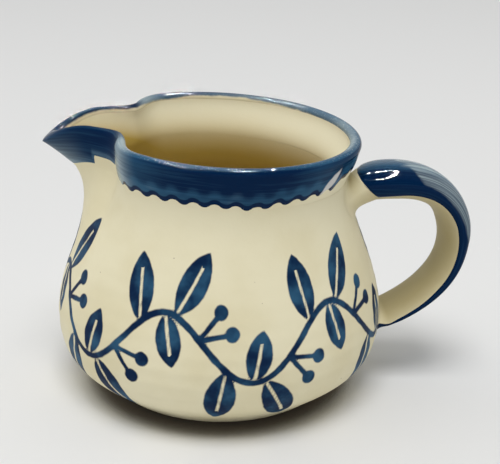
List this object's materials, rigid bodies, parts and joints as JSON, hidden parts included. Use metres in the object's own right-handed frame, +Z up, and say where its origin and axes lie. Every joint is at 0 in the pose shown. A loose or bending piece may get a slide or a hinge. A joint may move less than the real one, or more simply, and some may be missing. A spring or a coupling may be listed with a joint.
{
  "type": "cream jug",
  "caption": "Hand-thrown stoneware cream jug with a round belly, flared blue-slipped collar, pulled pouring spout and strap handle.",
  "frame": {"origin": "centre of the flat foot, on the pot's axis", "axes": "+Z up along the pot's axis; +X from the axis towards the handle, with the spout at -X; the view in the picture looks roughly along +Y, from above"},
  "size_m": [0.1467, 0.112, 0.093],
  "materials": {
    "stoneware": "gloss",
    "luting_clay": "gloss",
    "blue_slip": "gloss",
    "liner_glaze": "gloss"
  },
  "bodies": {
    "root": {"body": "stoneware", "collar": "stoneware", "spout": "stoneware", "handle": "stoneware", "upper_wad": "luting_clay", "lower_wad": "luting_clay", "collar_slip": "blue_slip", "spout_slip": "blue_slip", "handle_slip": "blue_slip", "liner_glaze": "liner_glaze"}
  },
  "joints": []
}
